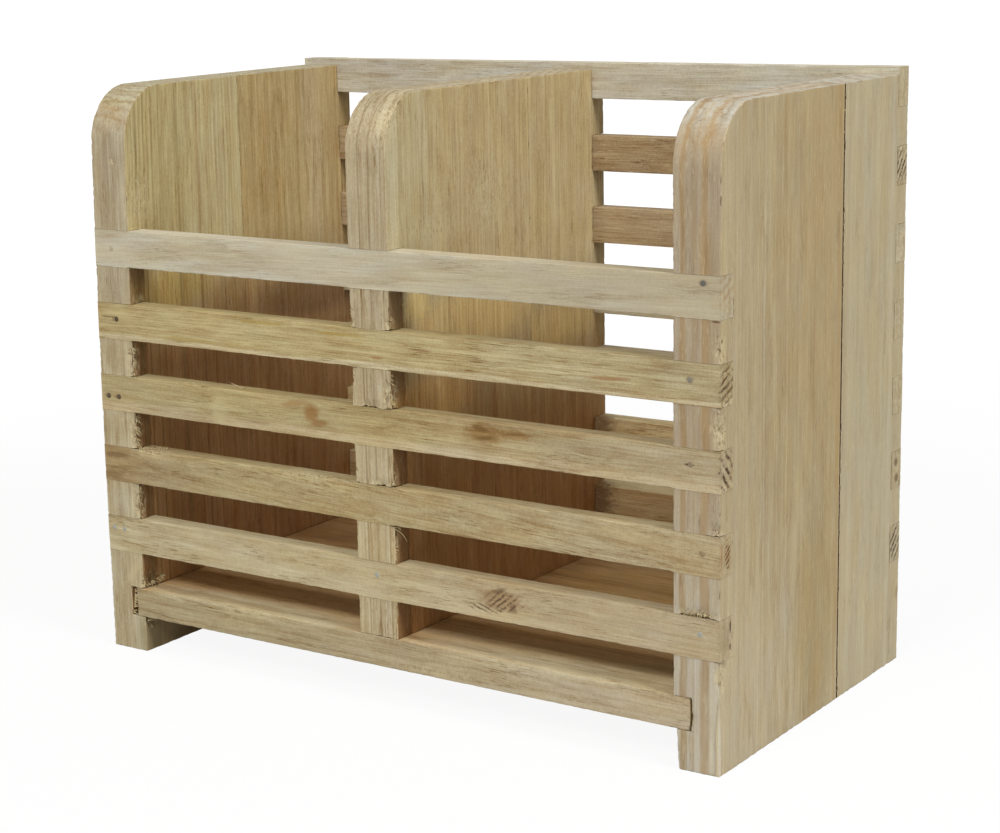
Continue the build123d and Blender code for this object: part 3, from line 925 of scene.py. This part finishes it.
def sliver(start, end, width, bow):
    """Points and faces of a closed sliver of wood that narrows from its root at start to its tip."""
    start, end = Vector(start), Vector(end)
    ahead = (end - start).normalized()
    side = ahead.cross(Vector((0.3, 1, 0.2))).normalized()
    up = side.cross(ahead)
    rings = 5
    points = []
    for ring in range(rings):
        share = ring / rings
        middle = start.lerp(end, share) + up * bow * sin(pi * share)
        half = width / 2 * (1 - share) ** 0.7
        points += [middle + side * half, middle + up * half * 0.6]
        points += [middle - side * half, middle - up * half * 0.6]
    points.append(end)
    faces = [(0, 1, 2, 3)]
    for ring in range(rings):
        for corner in range(4):
            here, after = 4 * ring + corner, 4 * ring + (corner + 1) % 4
            last = ring == rings - 1
            faces.append((here, 4 * rings, after) if last else (here, here + 4, after + 4, after))
    return points, faces


def fringe(start, end, lean, length, count, width=0.6, *, seed):
    """Slivers whose roots are spread from start to end. lean is the way that most of them point.

    None comes out past the front faces.
    """
    dice = np.random.default_rng(seed)
    slivers = []
    for _ in range(count):
        root = Vector(start).lerp(Vector(end), dice.random())
        way = (Vector(lean) + Vector(dice.normal(0, 0.35, 3))).normalized()
        reach = length * dice.uniform(0.4, 1)
        tip = root + way * reach
        tip.y = max(tip.y, FRONT + 0.1)
        thickness = width * dice.uniform(0.6, 1.3)
        slivers.append((root, tip, thickness, reach * dice.uniform(-0.2, 0.2)))
    return slivers


def splinters(name, fringes, seed, slivers=(), shape=None):
    """One object of many slivers, each a (root, tip, width, bow) in millimetres."""
    slivers = list(slivers)
    for number, row in enumerate(fringes):
        slivers += fringe(*row, seed=seed + number)
    points, faces = [], []
    for row in slivers:
        first = len(points)
        more_points, more_faces = sliver(*row)
        points += more_points
        faces += [tuple(first + i for i in face) for face in more_faces]
    places = np.array(points) * MM
    if shape:
        places = shape(places, None)
    places = np.clip(settled(places), *cad_bounds)
    piece = mesh_piece(name, places, faces, fibre_wood)
    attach(piece, "root")


fibre_wood = wood("torn_fibre_wood", 2, [(0, 0xC8B88C), (1, 0xC0AC80)], (2, 0, 250), seed=9,
                  contrast=0.8, wander=20)

ROOT_X = LEFT_X - 0.3         # just inside the left side's inner arris

# Each fringe: where its roots start and end, its lean, its length, its count and perhaps its width.
splinters("left_side_fibres", [
    ((ROOT_X, -80.5, 126), (ROOT_X, -80.3, 140), (1, 0.3, -0.9), 2.2, 16),
    ((ROOT_X, -80.4, 94), (ROOT_X, -79.8, 108), (1, 0.6, -0.9), 3.2, 20),
    ((ROOT_X, -80.5, 62), (ROOT_X, -80.2, 76), (1, 0.4, -0.9), 2.4, 14),
    ((ROOT_X - 0.1, -80, 30.5), (ROOT_X - 0.1, -68, 32.5), (1, 0.3, -0.7), 3.4, 30),
    ((-141, -80.2, 17), (-141, -78.5, 28), (1, 0.1, 0.2), 2.8, 26, 0.9),
    ((ROOT_X, -80, 14), (ROOT_X, -74, 15), (1, 0.8, -0.3), 2.6, 8),
    ((ROOT_X, -78, 186), (ROOT_X, -78, 192), (1, 0.5, -0.8), 1.8, 8),
], seed=1)
splinters("divider_fibres", [
    ((5.7, -80.4, 126), (5.7, -80.2, 139), (1, 0.4, -1), 2.4, 14),
    ((5.7, -80.5, 158), (5.7, -80.3, 163), (1, 0.4, -0.8), 2.2, 6),
    ((5.7, -80.5, 62), (5.7, -80.3, 74), (1, 0.4, -0.8), 1.6, 10),
    ((-13.3, -80.4, 126), (-13.3, -80.2, 172), (-1, 0.4, -0.6), 1.3, 22),
], seed=11, slivers=[
    ((6, -80.6, 75.6), (9.4, -77.5, 69.6), 0.7, 0.9), ((5.8, -80.6, 76.6), (8, -79, 75), 0.5, 0.3),
    ((6, -51, 249.6), (6.9, -48.5, 251.2), 0.5, 0.2), ((6, -25, 249.6), (6.9, -21.5, 251), 0.6, 0.3),
    ((6, -8, 249.6), (7.2, -4, 251.4), 0.6, 0.3), ((6, -38, 249.5), (6.6, -36, 250.6), 0.5, 0.2),
], shape=skewed)
splinters("right_side_fibres", [
    ((134.2, -80.6, 62.4), (150, -80.6, 62.4), (0.1, 0.1, -1), 1.5, 22),
    ((140.2, -80.4, 17), (140.2, -79.5, 28), (-1, 0.1, 0.2), 1.1, 14),
], seed=21, slivers=[
    ((152.7, 20.2, 239.4), (152.8, 21.6, 240.2), 0.9, 0.1),
    ((152.7, 20.2, 231.6), (152.8, 21.6, 230.4), 0.9, 0.1),
    ((152.6, 20, 40), (152.8, 21.8, 37), 0.7, 0.2),
])
splinters("front_slat_fibres", [
    ((-110, -80.5, 125), (-95, -79, 125), (0.6, 0.1, 0.6), 1.4, 8, 0.4),
    ((135, -80.4, 61), (152, -79.5, 61), (0.2, 0.1, 0.8), 1.2, 20, 0.5),
    ((-133, -80.4, 93), (-122, -74.5, 93), (0.5, 0.2, 0.8), 1.6, 20, 0.6),
], seed=31, slivers=[
    ((-74.9, -77, 124.8), (-82, -78.5, 127.8), 0.6, 0.3),
    ((-76, -77, 124.8), (-71, -78.5, 126.2), 0.5, 0.2),
])


# ---- brads ----

BRAD_TURNS = 20               # points around a brad
HEADS_APART = 3 * MM          # a head is narrower than this, and no two stand nearer
# Radius and depth of a brad's outline, from the middle of its flat head to the point.
BRAD_PROFILE = [(0.4, 0.01), (0.8, 0.02), (1.05, 0.04), (1.13, 0.12), (1.15, 0.35), (1, 0.8),
                (0.65, 1.1), (0.62, 22), (0.1, 25)]
BRAD_TIP = 25.1


def brad_heads(node, inwards):
    """The middle of each brad head in a node, on its outer face."""
    places = np.array([vertex.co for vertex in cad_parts[node].data.vertices])
    face = (places[:, 1] * inwards).min() * inwards
    rims = []
    for place in places[np.abs(places[:, 1] - face) < TINY]:
        near = [rim for rim in rims if np.linalg.norm(rim[0] - place) < HEADS_APART]
        if near:
            near[0].append(place)
        else:
            rims.append([place])
    return sorted(tuple((np.min(rim, axis=0) + np.max(rim, axis=0)) / 2) for rim in rims)


def brads(node, inwards, material):
    """Flat, slightly beaten brad heads with their shanks, in place of a node."""
    points, faces = [], []
    for count, (x, y, z) in enumerate(brad_heads(node, inwards)):
        start = len(points)
        points.append((x, y + inwards * 0.01 * MM, z))
        for radius, depth in BRAD_PROFILE:
            for step in range(BRAD_TURNS):
                angle = 2 * pi * step / BRAD_TURNS
                right, up = cos(angle), sin(angle)
                beaten = 1 + 0.05 * noise.noise(Vector((1.5 * right, 1.5 * up, count * 3.7)))
                dent = noise.noise(Vector((right * radius, count * 5.1, up * radius)))
                reach = radius * beaten * MM
                inward = inwards * (depth + 0.04 * max(0, dent)) * MM
                points.append((x + right * reach, y + inward, z + up * reach))
        end = len(points)
        points.append((x, y + inwards * BRAD_TIP * MM, z))
        rings = range(start + 1, end, BRAD_TURNS)
        for step in range(BRAD_TURNS):
            after = (step + 1) % BRAD_TURNS
            faces.append((start, rings[0] + step, rings[0] + after)[::inwards])
            for near, far in zip(rings, rings[1:]):
                faces.append((near + step, far + step, far + after, near + after)[::inwards])
            faces.append((rings[-1] + step, end, rings[-1] + after)[::inwards])
    piece = mesh_piece(node + "_steel", settled(np.array(points)), faces, material)
    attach(piece, "root")
    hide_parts(node)


brad_steel = steel("brad_steel_dull")
brads("front_brads", 1, brad_steel)
brads("back_brads", -1, brad_steel)


# ---- floor, lights, camera ----

WHITE = (1, 1, 1, 1)


def seen_rays(shader):
    """1 for the rays that end at the camera, and 0 for those that light the caddy."""
    rays = shader.tree.nodes.new("ShaderNodeLightPath").outputs
    seen = shader.math("MAXIMUM", rays["Is Camera Ray"], rays["Is Glossy Ray"])
    return shader.math("MAXIMUM", seen, rays["Is Transmission Ray"])


def stage_floor():
    """A pale floor that shows white to the camera and keeps a faint shadow near the caddy."""
    shader = Shader(bpy.data.materials.new("studio_floor"))
    away = shader.length(shader.add("TexCoord", {}, "Object"))
    share = shader.times(seen_rays(shader), shader.between(away, 0.35, 1.2, 0.86, 1))
    pale = shader.add("BsdfDiffuse", {"Color": (0.45, 0.45, 0.45, 1)})
    white = shader.add("Emission", {"Color": WHITE, "Strength": 1.07})
    material = shader.output("Material", shader.add("MixShader", {0: share, 1: pale, 2: white}))
    half = 15
    corners = [(-half, -half, 0), (half, -half, 0), (half, half, 0), (-half, half, 0)]
    floor = mesh_piece("studio_floor", corners, [(0, 1, 2, 3)], material, smooth=False)


def world_light():
    """Even light from all round, and a white background."""
    world = bpy.data.worlds.new("studio_world")
    bpy.context.scene.world = world
    shader = Shader(world)
    even = shader.add("Background", {"Color": (1, 0.96, 0.9, 1), "Strength": 0.3})
    white = shader.add("Background", {"Color": WHITE, "Strength": 1})
    shader.output("World", shader.add("MixShader", {0: seen_rays(shader), 1: even, 2: white}))


def soft_lamp(name, place, size, power):
    """A square area lamp that looks at the middle of the caddy."""
    data = bpy.data.lights.new(name, "AREA")
    data.shape = "SQUARE"
    data.size = size
    data.energy = power
    lamp = bpy.data.objects.new(name, data)
    lamp.location = place
    target = Vector((0, 0, 0.12))
    lamp.rotation_euler = (Vector(place) - target).to_track_quat("Z", "Y").to_euler()
    bpy.context.scene.collection.objects.link(lamp)


# The camera stands to the right of the front, a little above the caddy, and is tilted slightly.
CAMERA_PLACE = (0.51722, -0.77175, 0.31139)
CAMERA_RIGHT = (0.81571, 0.57791, -0.02520)
CAMERA_DOWN = (0.10170, -0.18617, -0.97724)
CAMERA_AHEAD = (-0.56945, 0.79458, -0.21064)
FOCAL_PX = 2204.4
IMAGE_W = 1000
IMAGE_H = 833
PRINCIPAL_PX = (424.6, 406.3)
SENSOR_W = 36


def camera():
    """The camera of the photo, as fitted to the caddy's edges."""
    data = bpy.data.cameras.new("photo_camera")
    data.sensor_fit = "HORIZONTAL"
    data.sensor_width = SENSOR_W
    data.lens = FOCAL_PX / IMAGE_W * SENSOR_W
    data.shift_x = (IMAGE_W / 2 - PRINCIPAL_PX[0]) / IMAGE_W
    data.shift_y = (PRINCIPAL_PX[1] - IMAGE_H / 2) / IMAGE_W
    data.clip_start = 0.05
    data.clip_end = 20
    eye = bpy.data.objects.new("photo_camera", data)
    axes = (Vector(CAMERA_RIGHT), -Vector(CAMERA_DOWN), -Vector(CAMERA_AHEAD))
    eye.matrix_world = Matrix.Translation(CAMERA_PLACE) @ Matrix(axes).transposed().to_4x4()
    bpy.context.scene.collection.objects.link(eye)
    bpy.context.scene.camera = eye


stage_floor()
world_light()
soft_lamp("right_softbox", place=(2.2, -0.35, 1.98), size=0.85, power=60)
soft_lamp("front_softbox", place=(0.1, -2.2, 2.1), size=0.8, power=57)
camera()
bpy.context.scene.view_settings.view_transform = "Standard"
